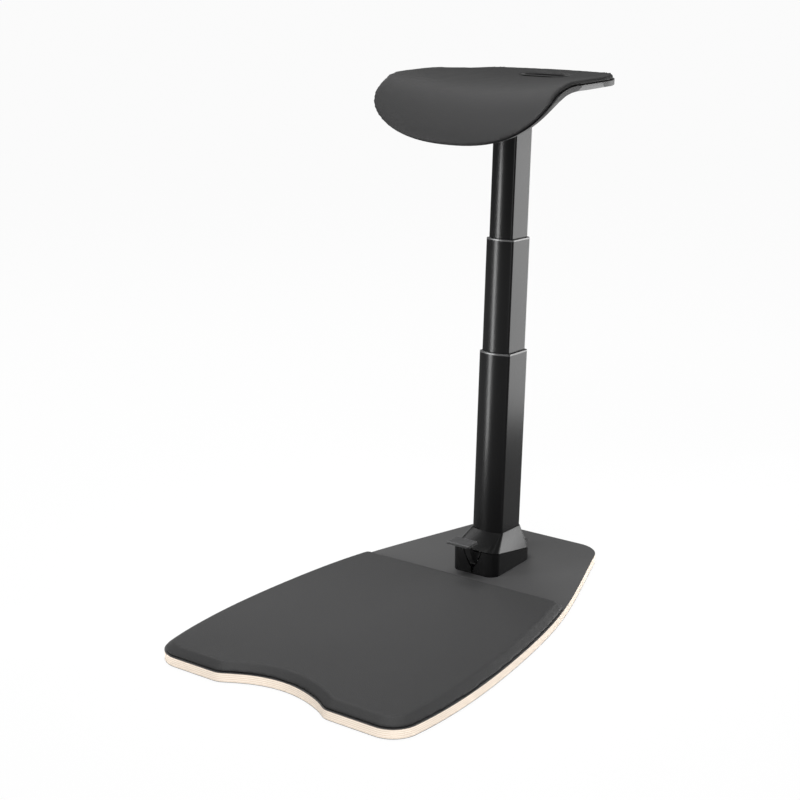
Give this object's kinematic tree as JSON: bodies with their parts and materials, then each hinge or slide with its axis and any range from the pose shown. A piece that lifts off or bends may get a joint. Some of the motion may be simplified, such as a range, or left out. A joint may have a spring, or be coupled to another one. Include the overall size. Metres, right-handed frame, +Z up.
{
  "type": "perch stool",
  "caption": "Perch stool: rolled, dished seat on a leaning telescopic mast over a plywood footboard with a standing mat and a foot pedal at the mast's base.",
  "frame": {"origin": "on the floor, under the middle of the footboard", "axes": "+X to the sitter's right, +Y to the rear (mast side), +Z up"},
  "size_m": [0.474, 0.7733, 0.836],
  "materials": {
    "plywood": "sanded, clear-sealed edge",
    "laminate": "matt black laminate",
    "mat_foam": "matt black moulded foam",
    "rubber": "matt",
    "cast_black": "satin black coated casting",
    "zinc_steel": "zinc plated",
    "dark_steel": "black oxide",
    "bright_steel": "ground",
    "spring_steel": "drawn",
    "coated_steel": "satin black powder coat",
    "black_plastic": "fine matt",
    "bush_bronze": "sintered",
    "slider_plastic": "natural",
    "shell_plastic": "semi-gloss",
    "pad_skin": "matt black soft skin"
  },
  "bodies": {
    "base": {"board_core": "plywood", "board_bottom_laminate": "laminate", "board_top_laminate": "laminate", "comfort_mat": "mat_foam", "rubber_feet": "rubber", "base_housing": "cast_black", "housing_screws": "zinc_steel", "base_bracket": "dark_steel", "base_bolts": "zinc_steel", "hinge_shaft": "bright_steel", "hinge_clip": "bright_steel", "pedal_pin": "bright_steel", "pedal_spring": "spring_steel"},
    "pedal": {"pedal_lever": "coated_steel", "pedal_tread": "black_plastic"},
    "mast": {"mast_foot": "dark_steel", "latch_keeper": "bright_steel", "hinge_bushes": "bush_bronze", "mast_spigot": "dark_steel", "spigot_bolts": "zinc_steel", "mast_collar": "cast_black", "outer_tube": "coated_steel", "outer_rim": "black_plastic", "gas_cylinder": "dark_steel"},
    "middle_stage": {"middle_tube": "coated_steel", "middle_rim": "black_plastic", "middle_slider": "slider_plastic"},
    "inner_stage": {"inner_tube": "coated_steel", "inner_slider": "slider_plastic", "gas_rod": "bright_steel", "rod_nut": "zinc_steel", "seat_bracket": "coated_steel", "lever_pin": "bright_steel", "seat_screws": "zinc_steel", "seat_shell": "shell_plastic", "seat_pad": "pad_skin", "slot_bezel": "black_plastic"},
    "lever": {"height_lever": "black_plastic"},
    "valve": {"valve_pin": "bright_steel"}
  },
  "joints": [
    {"name": "mast_fold", "type": "hinge", "parent": "base", "child": "mast", "pos_m": [0, 0.28, 0.04], "axis": [-1, 0, 0], "range_deg": [0, 80]},
    {"name": "pedal_press", "type": "hinge", "parent": "base", "child": "pedal", "pos_m": [0, 0.162, 0.036], "axis": [1, 0, 0], "range_deg": [0, 15], "stiffness_Nm_per_rad": 2, "springref_deg": -8.59},
    {"name": "middle_slide", "type": "slide", "parent": "mast", "child": "middle_stage", "axis": [0, 0.0436, 0.999], "range_m": [-0.125, 0]},
    {"name": "inner_slide", "type": "slide", "parent": "middle_stage", "child": "inner_stage", "axis": [0, 0.0436, 0.999], "range_m": [-0.125, 0]},
    {"name": "lever_pull", "type": "hinge", "parent": "inner_stage", "child": "lever", "pos_m": [0, 0.27784, 0.781], "axis": [1, 0, 0], "range_deg": [0, 8], "stiffness_Nm_per_rad": 1.5, "springref_deg": -8.59},
    {"name": "valve_press", "type": "slide", "parent": "inner_stage", "child": "valve", "axis": [0, 0.0436, 0.999], "range_m": [-0.0036, 0]}
  ],
  "couplings": [
    {"joint": "inner_slide", "follows": "middle_slide", "ratio": 1},
    {"joint": "valve_press", "follows": "lever_pull", "m_per_rad": -0.024}
  ]
}
